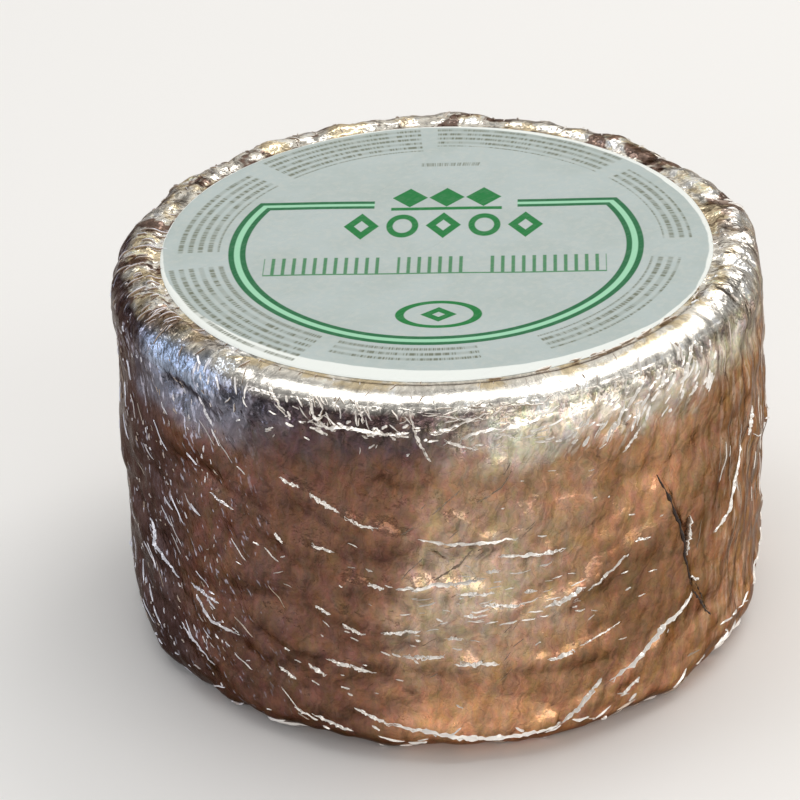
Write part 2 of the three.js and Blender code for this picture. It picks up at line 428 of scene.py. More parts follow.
def fold_relief(angle, level, lift, random):
    """Low swellings along the folds' lines: steep on the upper side, and long and soft below."""
    total = np.zeros((len(level), len(angle)))
    for start, end, sag in (*FRONT_FOLDS, *back_folds()):
        share = angle_from(angle, start[0]) / (end[0] - start[0])
        inside = (share > 0) & (share < 1)
        s = share[inside]
        length = (end[0] - start[0]) * PER_DEGREE
        swell = np.clip(0.7 + 0.4 * waves(s * length, random, FOLD["swell"]), 0.1, 1.2)
        away = level[:, None] - fold_line(start, end, sag, s)
        ridge = np.exp(-((away / np.where(away > 0, FOLD["above"], FOLD["below"])) ** 2))
        lifted = lift * faded_ends(s, FOLD["fade"]) * swell * ridge
        total[:, inside] = np.maximum(total[:, inside], lifted)
    return total


def seam_relief(angle, level):
    """The lapped edge just right of the slit: a low lip on its left, then a sharp drop that the foil
    recovers from slowly."""
    slit_angle, slit_level = np.array(SLIT[::-1]).T
    edge = np.interp(level, slit_level, slit_angle) + SEAM["behind_slit"]
    across = angle_from(angle, edge[:, None]) * PER_DEGREE
    down = (SEAM["top"] - level) / (SEAM["top"] - SEAM["foot"])
    fade = faded_ends(down, SEAM["fade"] / (SEAM["top"] - SEAM["foot"]))[:, None]
    step = SEAM["lip"] - (SEAM["lip"] + SEAM["depth"]) * smooth(across / SEAM["step"] + 0.5)
    return step * fade * np.exp(-np.abs(across) / SEAM["reach"])


def dent_relief(angle, level):
    """Round hollows, each the bell curve of its distance from the middle."""
    total = np.zeros((len(level), len(angle)))
    for middle, height, wide, high, depth in DENTS:
        x = angle_from(angle, middle) * PER_DEGREE / wide
        z = (level - height) / high
        total -= depth * np.exp(-x * x)[None, :] * np.exp(-z * z)[:, None]
    return total


def lump_relief(angle, level, depth):
    """Low, wide lumps: a few waves of different lengths round the wheel and up it."""
    a = np.radians(angle)[None, :]
    z = (level / RIM_HEIGHT)[:, None]
    return depth / 2 * (np.sin(3 * a + 4 * z) + np.sin(7 * a - 5 * z + 1) * np.sin(6 * z + 2 * a))


def pleat_relief(angle, level, depth):
    """Uneven gathers, strongest on the two rounded edges and dying away along the side."""
    a = np.radians(angle)

    def gather(count, shift):
        return np.sin(count * a + 2.2 * np.sin(5 * a + shift) + 1.3 * np.sin(11 * a + 2 * shift))

    near_top = np.clip(1 - (RIM_HEIGHT - level) / PLEAT_REACH, 0, 1)[:, None]
    near_base = np.clip(1 - level / PLEAT_REACH, 0, 1)[:, None]
    return depth * (near_top * gather(TOP_PLEATS, 0.7) + near_base * gather(BASE_PLEATS, 2.1))


def crumple_relief(angle, level, slope, crumple, random):
    """Flat facets between sharp creases: a sum of waves, each the absolute sine of a slanted plane
    wave, which comes and goes in patches that are the product of two slow sines."""
    a = np.radians(angle)[None, :]
    z = level[:, None]
    total = np.zeros((len(level), len(angle)))
    for _ in range(crumple.count):
        length = random.uniform(*crumple.lengths)
        way = math.radians(crumple.turn + random.uniform(-crumple.spread, crumple.spread))
        around = round(-math.pi * WHEEL_RADIUS / length * math.sin(way))
        first, second = random.integers(2, 9, 2)
        drift = random.uniform(0, 2 * math.pi, 4)
        bend = 0.8 * np.sin(first * a + z / 17 + drift[0])
        patch = np.sin(first * a + z / 21 + drift[1]) * np.sin(second * a - z / 15 + drift[2])
        crest = np.abs(np.sin(around * a + math.pi / length * math.cos(way) * z + bend + drift[3]))
        total += crumple.steep * slope * length / math.pi * smooth(0.5 + patch) * (crest - 0.6)
    return total


def crumple_zones(angle, level):
    """How far each crumple reaches: the rim's stripe at the front stays calm, and so does its left."""
    up = level[:, None]
    calm = 1 - 0.75 * smooth((up - 107) / 5) * window(angle, -34, 58, 14)
    calm = calm * (1 - 0.8 * window(up, 106, 115, 4) * window(angle, -60, -43, 6))
    return dict(
        broad=calm,
        fine=calm,
        right=window(angle_from(angle, 72), -26, 32, 14) * window(up, 34, 110, 14),
        rim=window(up, 106, RIM_LEVEL + 2, 6) * calm,
        back=window(angle_from(angle, 180), -72, 72, 24) * window(up, 10, 106, 8),
    )


def foil_relief(s, angle, section):
    """How far the foil stands out from the plain section, on the grid of rows and columns."""
    radius, _, facing, level = section
    random = np.random.default_rng(FOIL_SEED)
    zones = crumple_zones(angle, level)
    relief = fold_relief(angle, level, s.fold_lift, random)
    for name, crumple in CRUMPLES.items():
        relief += zones[name] * crumple_relief(angle, level, s.crumple, crumple, random)
    relief += lump_relief(angle, level, s.lump_depth)
    relief += zones["fine"] * pleat_relief(angle, level, s.pleat_depth)
    relief += seam_relief(angle, level) + dent_relief(angle, level)
    on_ring = (facing > QUARTER - 0.01) * smooth((WHEEL_RADIUS - TOP_EDGE - radius) / 2.5)
    base = smooth((-QUARTER + 0.2 - facing) / 0.2)
    return relief * (1 - on_ring)[:, None] * (1 - 0.8 * base)[:, None]


def wrap_rings(angle, section, relief):
    """The foil's rings: the section, pushed in and out along its own facing by the relief."""
    radius, height, facing, _ = section
    out = radius[:, None] + relief * np.cos(facing)[:, None]
    up = np.maximum(height[:, None] + relief * np.sin(facing)[:, None], 0)
    out[[0, -1]] = 0
    up[0], up[-1] = 0, height[-1]
    return cylinder(angle[None, :], out, up)


def paint_slope_light_and_shade(relief, angle, level):
    """How far each point leans towards the upper left: 0.5 where it is level, more where it leans that
    way. It paints light and shade by slope: the foil's colour is brightened on such slopes and darkened on
    the others."""
    up = np.gradient(relief, axis=0) / np.gradient(level)[:, None]
    right = np.gradient(relief, axis=1) / (np.gradient(angle) * PER_DEGREE)
    return np.clip(0.5 - 1.3 * up + 0.7 * right, 0, 1)


# ---------- sharp creases


def crease_table(random):
    """The creases of every band as rows: angle, level, half length, width, rise to the right, tone."""
    rows = []
    for band in BANDS:
        low, high = np.array([band.angles, band.levels, band.half, band.wide]).T
        drawn = random.uniform(low, high, (band.count, 4))
        turn = band.turn + random.uniform(-band.spread, band.spread, (band.count, 1))
        tone = random.uniform(*band.tone, (band.count, 1))
        rows.append(np.hstack([drawn, turn, tone]))
    b = BACK_CREASES
    for start, end, sag in back_folds():
        length = (end[0] - start[0]) * PER_DEGREE
        count = max(2, round(length / b["spacing"]))
        share = (np.arange(count) + random.uniform(0.2, 0.8, count)) / count
        turn = np.degrees(np.arctan((end[1] - start[1] - sag * 4 * (1 - 2 * share)) / length))
        turn += random.uniform(-b["stray"], b["stray"], count)
        half, wide = random.uniform(*b["half"], count), random.uniform(*b["wide"], count)
        angle, level = start[0] + (end[0] - start[0]) * share, fold_line(start, end, sag, share)
        rows.append(np.stack([angle, level, half, wide, turn, random.uniform(PALE, WHITE, count)], -1))
    return np.concatenate(rows)


def band_lines(table, random, stations=8):
    """Centre lines of the bands' creases: straight ones, bent a little by a parabola and a sine."""
    angle, level, half, wide, turn, tone = (column[:, None] for column in table.T)
    s = np.linspace(-1, 1, stations)[None, :]
    bend, wobble, uneven, phase = random.uniform(-1, 1, (4, len(table), 1))
    sideways = half * (0.13 * bend * (s * s - 0.33) + 0.05 * wobble * np.sin(5 * s + 9 * phase))
    way = np.radians(turn)
    angle = angle + (half * s * np.cos(way) - sideways * np.sin(way)) / PER_DEGREE
    level = level + half * s * np.sin(way) + sideways * np.cos(way)
    wide = wide * (1 + 0.3 * uneven * np.sin(5 * s + 3 * phase))
    return angle, level, wide, tone * np.ones_like(s)


def stroke_lines(random, stations=28):
    """Centre lines of the long creases: their bends joined by straight runs, rounded off by averaging
    each point with its neighbours, with a slow waver and a width that comes and goes as smooth noise."""
    rows = []
    for wide, tone, *bends in STROKES:
        x, z = np.array(bends, float).T * [[PER_DEGREE], [1]]
        along = np.append(0, np.cumsum(np.hypot(np.diff(x), np.diff(z))))
        at = np.linspace(0, along[-1], stations)
        x, z = np.interp(at, along, x), np.interp(at, along, z)
        for _ in range(2):
            x[1:-1] = (x[:-2] + 2 * x[1:-1] + x[2:]) / 4
            z[1:-1] = (z[:-2] + 2 * z[1:-1] + z[2:]) / 4
        for waver, share in BRIGHT_STRANDS if tone > DIM else DARK_STRANDS:
            strand_x = x + waver * wide * waves(at, random, 9)
            strand_z = z + waver * wide * waves(at, random, 9)
            uneven = np.clip(1 + 0.5 * waves(at, random, 6), 0.3, 1.8)
            rows.append((strand_x / PER_DEGREE, strand_z, share * wide * uneven, np.full(stations, tone)))
    return (np.array(column) for column in zip(*rows))


def on_foil(angles, section, relief, angle, level, lift):
    """Places on the foil, raised by lift: straight between the four grid points round each."""
    rows, columns = relief.shape
    row = np.interp(level, section[3], np.arange(rows))
    round_once = np.append(angles, angles[0] + 360)
    column = np.interp(angle_from(angle, 0), round_once, np.arange(columns + 1))
    i, j = np.minimum(row.astype(int), rows - 2), np.minimum(column.astype(int), columns - 1)
    after = (j + 1) % columns
    u, v = row - i, column - j
    low = relief[i, j] * (1 - v) + relief[i, after] * v
    high = relief[i + 1, j] * (1 - v) + relief[i + 1, after] * v
    lift = lift + low * (1 - u) + high * u
    radius, height, facing = (np.interp(level, section[3], line) for line in section[:3])
    return cylinder(angle, radius + lift * np.cos(facing), height + lift * np.sin(facing))


# A crease's section from its upper edge to its lower one: the place across, the height, and the tone,
# which darkens the lower flank as painted shade
SECTION_ACROSS = np.array([1, 0.94, -0.1, -0.2, -0.45, -1])
SECTION_ARCH = np.array([0, 0.05, 0.92, 1, 0.8, 0])
SECTION_PAINTED_SHADE = np.array([1, 1, 1, 1, 0.5, 0.2])


def ridges(angle, level, wide, tone, angles, section, relief):
    """Closed ridges along centre lines, with the tone of each point, darkened on the lower flank as painted
    shade. Their width and height fall to the tips as the root of 1 - s^2, and their foot is sunk."""
    s = np.linspace(-1, 1, angle.shape[1])
    taper = np.sqrt(1 - s * s)
    way = np.arctan2(np.gradient(level, axis=1), np.gradient(angle * PER_DEGREE, axis=1))[..., None]
    sideways = (wide * taper / 2)[..., None] * SECTION_ACROSS
    high = CREASE_HEIGHT * wide * (DARK_HEIGHT + (1 - DARK_HEIGHT) * tone) * taper
    lift = (high + CREASE_SINK)[..., None] * SECTION_ARCH - CREASE_SINK
    angle = angle[..., None] - sideways * np.sin(way) / PER_DEGREE
    points = on_foil(angles, section, relief, angle, level[..., None] + sideways * np.cos(way), lift)
    points[..., 2] = np.maximum(points[..., 2], 0)
    tones = tone[..., None] * SECTION_PAINTED_SHADE
    return closed_points(points), closed_points(tones[..., None])[..., 0]


def all_creases(angles, section, relief):
    """Points, tones and faces of every crease: those of the bands, then the long ones."""
    random = np.random.default_rng(CREASE_SEED)
    points, tones, faces, start = [], [], [], 0
    for lines in (band_lines(crease_table(random), random), stroke_lines(random)):
        some_points, some_tones = ridges(*lines, angles, section, relief)
        count, each = some_tones.shape
        pattern = closed_faces((each - 2) // len(SECTION_ACROSS), len(SECTION_ACROSS))
        for first in range(start, start + count * each, each):
            faces += [[corner + first for corner in face] for face in pattern]
        points.append(some_points.reshape(-1, 3))
        tones.append(some_tones.ravel())
        start += count * each
    return np.concatenate(points), np.concatenate(tones), faces


# ---------- the label's shape


def label_rings():
    """The label's rings: a flat underside from its middle out, an edge whose radius wanders as three
    sines, and a top that rises smoothly from a thin edge. The top waves by a product of two sines, which
    dies away to the edge as 1 - share^6."""
    angle = np.arange(LABEL_COLUMNS) * 360 / LABEL_COLUMNS
    a = np.radians(angle)
    wander = np.sin(2 * a + 1) + 0.6 * np.sin(5 * a) + 0.4 * np.sin(9 * a + 2)
    edge = LABEL_RADIUS + LABEL_UNEVENNESS / 2 * wander
    inset = np.append(EDGE_INSETS, np.linspace(INNER_INSET, LABEL_RADIUS, LABEL_ROWS))[:, None]
    share = np.clip(1 - inset / LABEL_RADIUS, 0, 1)
    x, y = edge * share * np.sin(a), -edge * share * np.cos(a)
    wave = PAPER_WAVE * np.sin(x / 9 + y / 14) * np.sin(y / 11 - x / 23 + 1) * (1 - share**6)
    low = LABEL_LOW.z
    top = low + THIN_EDGE + (LABEL_HIGH.z - low - THIN_EDGE) * smooth(inset / EDGE_ROUND) + wave
    under = np.linspace(0, 1, UNDER_ROWS)[:, None]
    out = np.concatenate([edge * under, edge * share])
    up = np.concatenate([np.full((UNDER_ROWS, LABEL_COLUMNS), low), top])
    out[[0, -1]] = 0
    up[-1] = up[-1, 0]
    return cylinder(angle[None, :], out, up)


# ---------- shader maths


class Value:
    """A shader socket that Python's operators work on, each by adding a Math node."""

    def __init__(self, graph, socket):
        self.graph = graph
        self.socket = socket

    def math(self, operation, *others):
        return self.graph.node("ShaderNodeMath", {"operation": operation}, dict(enumerate((self, *others))))

    __add__ = __radd__ = partialmethod(math, "ADD")
    __sub__ = partialmethod(math, "SUBTRACT")
    __mul__ = __rmul__ = partialmethod(math, "MULTIPLY")
    __truediv__ = partialmethod(math, "DIVIDE")
    __abs__ = partialmethod(math, "ABSOLUTE")
    __or__ = partialmethod(math, "MAXIMUM")  # joins two masks

    def __rsub__(self, other):
        return self.graph.node("ShaderNodeMath", {"operation": "SUBTRACT"}, {0: other, 1: self})

    def __neg__(self):
        return self * -1

    def rise(self, low, high):
        """0 below low, 1 above high, and smooth between; low may be the larger one."""
        settings = {"interpolation_type": "SMOOTHSTEP"}
        return self.graph.node("ShaderNodeMapRange", settings, {"Value": self, 1: low, 2: high})

    def within(self, low, high, soft):
        """1 from low to high, with edges as wide as soft."""
        return self.rise(low - soft / 2, low + soft / 2) * self.rise(high + soft / 2, high - soft / 2)

    def line(self, half, soft):
        """1 where the value is within half of zero, with an edge as wide as soft."""
        return abs(self).rise(half + soft / 2, half - soft / 2)

    def repeat(self, period):
        """The value's distance from the middle of its cell, where cells are one period long."""
        return (self / period).math("FRACT") * period - period / 2


class Graph:
    """The node tree of one material."""

    def __init__(self, name):
        self.material = bpy.data.materials.new(name)
        self.material.use_nodes = True
        self.tree = self.material.node_tree
        self.tree.nodes.clear()

    def node(self, kind, settings=None, values=None, output=0):
        """Adds a node. Its settings go in first, then the values or links of its sockets."""
        made = self.tree.nodes.new(kind)
        for key, value in (settings or {}).items():
            setattr(made, key, value)
        for key, value in (values or {}).items():
            if isinstance(value, Value):
                self.tree.links.new(value.socket, made.inputs[key])
            else:
                made.inputs[key].default_value = value
        return Value(self, made.outputs[output]) if made.outputs else made

    def place(self):
        """The object's own coordinates, split into x, y and z in millimetres."""
        where = self.node("ShaderNodeTexCoord", output="Object")
        split = self.node("ShaderNodeSeparateXYZ", {}, {0: where})
        return [Value(self, split.socket.node.outputs[i]) / MM for i in range(3)]

    def attribute(self, name):
        return self.node("ShaderNodeAttribute", {"attribute_name": name}, {}, "Fac")

    def vector(self, x, y, z):
        return self.node("ShaderNodeCombineXYZ", {}, {0: x, 1: y, 2: z})

    def noise(self, where, scale, detail=2.0, rough=0.5, output=0):
        values = {"Vector": where, "Scale": scale, "Detail": detail, "Roughness": rough}
        return self.node("ShaderNodeTexNoise", {"noise_dimensions": "3D"}, values, output)

    def vector_math(self, operation, *values, output=0):
        return self.node("ShaderNodeVectorMath", {"operation": operation}, dict(enumerate(values)), output)

    def times(self, colour, share):
        """A colour brightened or dimmed by a share, or by another colour, channel by channel."""
        return self.vector_math("MULTIPLY", colour, share)

    def warp(self, where, scale, reach):
        """Pushes a place about by as much as half of reach, by smooth noise."""
        push = self.noise(where, scale, 3.0, 0.6, "Color")
        return self.vector_math("MULTIPLY_ADD", push, (reach,) * 3, where)

    def facets(self, where, size):
        """Crumpled cells of about one size: a random tone for each, and a height that is a plane
        through the cell's middle with a slope of its own."""
        where = self.vector_math("MULTIPLY", where, (1 / size,) * 3)
        tone = self.node("ShaderNodeTexVoronoi", {}, {"Vector": where, "Scale": 1.0}, "Color")
        middle = Value(self, tone.socket.node.outputs["Position"])
        away = self.vector_math("SUBTRACT", where, middle)
        slope = self.vector_math("SUBTRACT", tone, (0.5, 0.5, 0.5))
        height = self.vector_math("DOT_PRODUCT", away, slope, output="Value")
        return self.node("ShaderNodeSeparateColor", {}, {0: tone}), height * size

    def blend(self, share, first, second, way="MIX"):
        """Mixes two colours: share 0 is all first, and 1 is all second."""
        settings = {"data_type": "RGBA", "blend_type": way}
        return self.node("ShaderNodeMix", settings, {0: share, 6: colour4(first), 7: colour4(second)}, 2)

    def bump(self, height, distance, strength=1.0):
        values = {"Height": height, "Distance": distance * MM, "Strength": strength}
        return self.node("ShaderNodeBump", {}, values)

    def surface(self, **values):
        """Finishes the material with a Principled shader, whose sockets take the given values."""
        sockets = {name.replace("_", " ").title().replace("Ior", "IOR"): v for name, v in values.items()}
        shader = self.node("ShaderNodeBsdfPrincipled", {}, sockets)
        self.node("ShaderNodeOutputMaterial", {}, {"Surface": shader})
        return self.material


def colour4(colour):
    """A colour property as the four numbers that a colour socket takes; a Value passes through."""
    return colour if isinstance(colour, Value) else (*colour, 1.0)


def linear(red, green, blue):
    """A colour of 0 to 255 as seen on a screen, in the linear numbers that shaders use."""
    share = np.array([red, green, blue]) / 255
    return tuple(np.where(share <= 0.04045, share / 12.92, ((share + 0.055) / 1.055) ** 2.4).tolist())


def tint(name, description, default):
    return FloatVectorProperty(
        name=name, description=description, default=default, subtype="COLOR", min=0, max=1
    )


def length_property(name, description, default):
    description += ", in millimetres"
    return FloatProperty(name=name, description=description, default=default, min=0, max=3)


# ---------- settings


class FoilSettings(bpy.types.PropertyGroup):
    """The foil's relief and colours."""

    fold_lift: length_property("Fold lift", "Height of a draped fold", 0.8)
    lump_depth: length_property("Lump depth", "Soft unevenness under the foil", 0.5)
    pleat_depth: length_property("Pleat depth", "Gathers over the two edges", 0.2)
    crumple: FloatProperty(
        name="Crumple", description="Slope of the facets between creases", default=0.06, min=0, max=0.5
    )
    silver: tint("Silver", "The rim and the top ring", (0.84, 0.81, 0.75))
    gold: tint("Gold", "Patches on the rim and the top ring", (0.66, 0.52, 0.29))
    # Also the painted shade in a line beside the label
    brown: tint("Brown", "Deep patches on the rim", (0.16, 0.09, 0.07))
    bronze: tint("Bronze", "The right of the side", linear(157, 118, 88))
    # Painted reflection: the light band right of the middle
    light: tint("Light bronze", "The band right of the middle", linear(191, 167, 143))
    # Painted shade: copper and dark bronze darken the side towards the left
    copper: tint("Copper", "Left of the middle", linear(130, 94, 75))
    dark: tint("Dark bronze", "The left of the side", linear(108, 79, 68))
    # Painted reflection of the sky
    sky: tint("Sky", "A patch on the rim that mirrors the sky", (0.50, 0.60, 0.78))
    # Painted shade and reflection: slate under the rim and on the left, olive under the rim on the right
    slate: tint("Slate", "Under the rim on the left", linear(82, 70, 72))
    olive: tint("Olive", "Under the rim on the right", linear(196, 188, 172))
    # Painted highlights: bright streaks and strokes on the right of the side
    highlight_cream: tint("Cream", "Streaks and specks rubbed bright", linear(214, 206, 194))
    speck: tint("Speck", "Cold glints on the left", (0.70, 0.70, 0.84))
    # Painted shade: the dark streaks
    shadow: tint("Shadow", "Streaks that stay dark", linear(84, 62, 50))
    # Painted highlights along the creases, warm, and bluer on the left
    crease: tint("Crease", "Foil stretched bright along a crease", (0.99, 0.95, 0.90))
    cold_crease: tint("Cold crease", "The same on the left", (0.76, 0.79, 0.95))
    # Painted shade on the dull creases
    crease_shade: tint("Scratch", "Dull creases", (0.40, 0.30, 0.22))
    # Painted shadow: the dark inside of the slit
    slit: tint("Slit", "Inside the open edge of the foil sheet", (0.03, 0.018, 0.014))


class LabelSettings(bpy.types.PropertyGroup):
    """The label's paper and print."""

    paper: tint("Paper", "The pale grey-green paper", linear(181, 193, 193))
    cloud: tint("Cloud", "Soft darker clouds in the paper", linear(168, 180, 176))
    fleck: tint("Fleck", "Fine pale flecks in the paper", linear(200, 202, 196))
    margin: tint("Margin", "The whiter edge of the paper", linear(236, 241, 238))
    green: tint("Green", "The solid green of the ornaments", linear(2, 118, 54))
    line: tint("Line green", "The frame's two lines", linear(22, 104, 62))
    mint: tint("Mint", "Between the frame's two lines", linear(150, 215, 176))
    small: tint("Small print", "The rows of broken lines", linear(112, 118, 102))


class StageSettings(bpy.types.PropertyGroup):
    """The floor, the room and the light."""

    floor: tint("Floor", "The plain pale floor", (0.88, 0.875, 0.87))
    room: tint("Room", "The dim room round the lights", (0.36, 0.355, 0.345))
    light: FloatProperty(
        name="Light",
        description="Share of the lights' full power",
        default=1,
        min=0,
        max=4,
        subtype="FACTOR",
    )


# ---------- materials


EDGE_TINT = (0.45, 0.40, 0.37, 1.0)  # of the foil where it is seen edge-on
RIM_STRIPE = (-36, 60, 12)  # the turns of the rim's smooth bright stripe, and how softly it ends

# Soft patches of painted light and shade that make the side lighter or darker: the heights and the turns
# that each spans, with the softness of its edges, and how much it adds to the side's brightness
PAINTED_SIDE_SHADING = (
    ((24, 62, 16), (21, 54, 13), -0.26),
    ((48, 62, 8), (24, 38, 8), -0.12),
    ((99, 110, 8), (-3, 18, 10), 0.32),
    ((76, 94, 12), (-3, 16, 10), -0.18),
    ((52, 84, 16), (48, 64, 10), -0.24),
    ((20, 46, 16), (62, 96, 10), 0.32),
    ((14, 28, 8), (-14, 2, 8), 0.24),
    ((74, 92, 12), (31, 46, 8), 0.26),
)


class FoilGraph(Graph):
    """The foil's node tree, with the places and the noises that its colours and its bumps share. Slow
    and quick noise, as sway and fray, wears the edge of every patch ragged."""

    def __init__(self, name):
        super().__init__(name)
        x, y, self.z = self.place()
        self.where = self.vector(x, y, self.z)
        self.radius = (x * x + y * y).math("SQRT")
        self.turn = x.math("ARCTAN2", -y) * math.degrees(1)  # degrees from the front towards the right
        self.around = self.turn * PER_DEGREE
        self.cloud = self.noise(self.where, 0.035, 3.0)
        self.patch = self.noise(self.where, 0.11, 3.0, 0.6)
        self.sway, self.fray = self.cloud - 0.5, self.patch - 0.5
        self.warped = self.warp(self.where, 0.16, 7.0)
        self.grain = self.noise(self.vector(x, y, self.z * 1.6), 0.5, 3.0, 0.6)
        self.front = abs(self.turn).rise(165, 135)
        self.ragged = self.turn + self.sway * 30 + self.fray * 14
        self.bend = self.ragged - (self.z - 60) * 0.14  # bands of colour lean to the right as they rise
        # left and cold mark the painted shade on the left and its cold painted reflections
        self.left = self.bend.rise(3, -12) * self.bend.rise(-160, -115)
        self.cold = self.ragged.rise(-26, -48) * self.ragged.rise(-145, -105) * self.z.rise(114, 112)
        offset = self.cloud * 3 + self.patch
        self.grooves = self.drawn_out(self.around, self.z, 84, (0.09, 0.55), offset, 4.0, 0.62)
        self.grit = self.drawn_out(self.around, self.z, -66, (0.32, 0.75), self.cloud, 2.0, 0.5)

    def drawn_out(self, around, height, rise, scales, offset, detail, rough):
        """Noise drawn out along lines that rise to the right by an angle in degrees."""
        a = math.radians(rise)
        along = (around * math.cos(a) + height * math.sin(a)) * scales[0]
        across = (height * math.cos(a) - around * math.sin(a)) * scales[1]
        return self.noise(self.vector(along, across, offset), 1.0, detail, rough)

    def shade(self, colour, share):
        """A colour brightened or dimmed by one share for all its channels."""
        return self.times(colour, self.vector(share, share, share))


def side_colour(g, s):
    """The side: bronze on the right, a light band right of the middle as a painted reflection, copper that
    darkens to the left as painted shade, and a painted reflection under the rim, pale on the right and
    slate on the left, in lighter and darker patches of painted light and shade, and of uneven hue."""
    z, bend = g.z, g.bend
    # A painted reflection as a light band right of the middle, and painted shade from copper to dark bronze
    # on the left
    light = bend.rise(-14, 3) * bend.rise(25, 8) * (z.rise(90, 62) * 0.75 + 0.25) * z.rise(22, 48)
    dark = g.blend(bend.rise(0, -42), s.copper, s.dark)
    side = g.blend(light, g.blend(g.left, s.bronze, dark), s.light)
    # Painted reflection under the rim: pale olive on the right and slate on the left
    under_rim = (z + g.sway * 22 + g.fray * 12).rise(92, 103)
    side = g.blend(under_rim * 0.9, side, g.blend(g.left, s.olive, s.slate))
    # Painted light that brightens the lower side, and patches of painted light and shade
    lift = z.rise(38, 14) * bend.rise(34, 20) * 0.42 + z.rise(26, 8) * 0.35
    for heights, turns, gain in PAINTED_SIDE_SHADING:
        lift = lift + z.within(*heights) * bend.within(*turns) * gain
    side = g.shade(side, lift * (1 - g.left) * g.front + 1)
    upright = g.vector_math("MULTIPLY", g.warped, (0.3, 0.3, 0.12))
    hues = g.noise(upright, 1.0, 6.0, 0.75, "Color")
    return g.times(side, g.vector_math("MULTIPLY_ADD", hues, (1.0, 0.6, 1.3), (0.5, 0.7, 0.35)))


def streaked(g, s, side):
    """Upright grooves on the right of the side, dark with painted shade and bright with painted highlights,
    and slanted strokes of painted highlight on its shoulder.
    """
    right = g.turn.rise(46, 66) * g.turn.rise(150, 120)
    # Painted shade and painted highlights along the upright streaks
    side = g.blend(g.grooves.rise(0.46, 0.34) * right * 0.2, side, s.shadow)
    side = g.blend(g.grooves.rise(0.46, 0.66) * right * 0.34, side, s.highlight_cream)
    shoulder = g.turn.rise(12, 26) * g.turn.rise(60, 48) * (g.z + g.fray * 20).rise(90, 100)
    strokes = g.drawn_out(g.around, g.z, 54, (0.13, 0.55), 0, 3.0, 0.6)
    return g.blend(strokes.rise(0.50, 0.60) * shoulder * 0.65, side, s.highlight_cream)


def rimmed(g, s, side):
    """Silver above the side, with gold and brown patches on the top ring and round the back, and a brown
    line of painted shade beside the label, where the foil dips into the dish."""
    body = g.blend((g.z + g.fray * 3).rise(110, 112.5), side, s.silver)
    far = g.bend.rise(70, 100) | g.bend.rise(-45, -75)
    gold = g.patch.rise(0.46, 0.60) * g.z.rise(109, 113) * (g.radius.rise(87, 85) | far)
    brown = g.noise(g.where, 0.075, 3.0, 0.6).rise(0.53, 0.58) * g.z.rise(106, 112) * far
    body = g.blend(gold * 0.7, body, s.gold)
    body = g.blend(brown * 0.9, body, s.brown)
    # Painted shade: a brown line where the foil dips beside the label
    groove_shade = (g.radius - 82.2 + g.sway * 1.2).line(0.35, 0.5) * g.z.rise(112.5, 113.2)
    return g.blend(groove_shade * g.bend.within(-20, 34, 16) * 0.8, body, s.brown)


def cold_left(g, s, body):
    """Painted shade and reflections on the left: slate, a painted reflection of the sky, and cold painted
    highlights as specks that are denser towards the rim.
    """
    # Painted shade in slate, a painted reflection of the sky with its faint spread, and cold painted
    # highlights as specks
    body = g.blend(g.cold * (g.z.rise(96, 105) | g.ragged.rise(-44, -66) * 0.85), body, s.slate)
    sky = g.turn.within(-62, -42, 8) * (g.z + g.fray * 6).within(105, 113.5, 3)
    faint_sky_reflection = g.ragged.within(-66, -34, 14) * (g.z + g.fray * 8).within(93, 111, 8)
    body = g.blend(sky * 0.75 | faint_sky_reflection * 0.22, body, s.sky)
    dense = (g.z + g.sway * 24).rise(80, 106)
    specks = (g.grit + dense * 0.07 + g.fray * 0.2).rise(0.63, 0.72) * g.cold
    return g.blend(specks * (0.62 - dense * 0.12), body, s.speck)


def foil_material(s):
    """Creased metal foil: silver on the rim, and bronze down the side, with painted shade that darkens it
    to the left and painted highlights and reflections on it. Crumpled facets vary its tone and its bumps,
    most of all in the net of them under the rim."""
    g = FoilGraph("creased_foil")
    body = cold_left(g, s, rimmed(g, s, streaked(g, s, side_colour(g, s))))
    coarse, coarse_height = g.facets(g.warped, 6.0)
    fine, fine_height = g.facets(g.warped, 1.9)
    stripe = g.turn.within(*RIM_STRIPE)
    net = (g.z + g.fray * 10).rise(99, 106) * (1 - g.z.rise(112, 113.2) * stripe)

    slanted = g.around + g.fray * 16, g.z + g.sway * 30, 64
    streaks = g.drawn_out(*slanted, (0.08, 0.42), g.cloud * 2, 4.0, 0.68)
    fibres = g.drawn_out(*slanted, (0.13, 0.95), g.patch, 2.0, 0.6)
    lines = streaks.rise(0.36, 0.62) * 0.26 + fibres.rise(0.36, 0.60) * 0.20 - 0.23
    lines = lines + (g.grooves - 0.5) * 0.6
    tones = (coarse - 0.5) * 0.12 + (fine - 0.5) * 0.10 + lines * g.front
    # Painted light and shade by slope: brighter where the foil leans to the upper left, darker where it
    # leans away
    tones = tones + (g.attribute("slope_light_and_shade") - 0.5) * (0.5 + g.front * 0.35)
    body = g.shade(body, (tones * (1 + net * 0.8) + 1).math("MAXIMUM", 0.35))

    crumpled = net * (1 - g.turn.within(8, 64, 14) * 0.65)
    bumps = coarse_height * (0.16 + crumpled * 0.24) + fine_height * (0.05 + crumpled * 0.17)
    calm = g.z.rise(111.3, 112.3) * stripe * 0.85
    bumps = (bumps + g.grit * g.cold * 0.4) * (1 - calm) + g.grain * 0.06
    return g.surface(
        base_color=body,
        metallic=1.0,
        roughness=0.19 + g.patch * 0.12,
        specular_tint=EDGE_TINT,
        normal=g.bump(bumps, 1.0),
    )


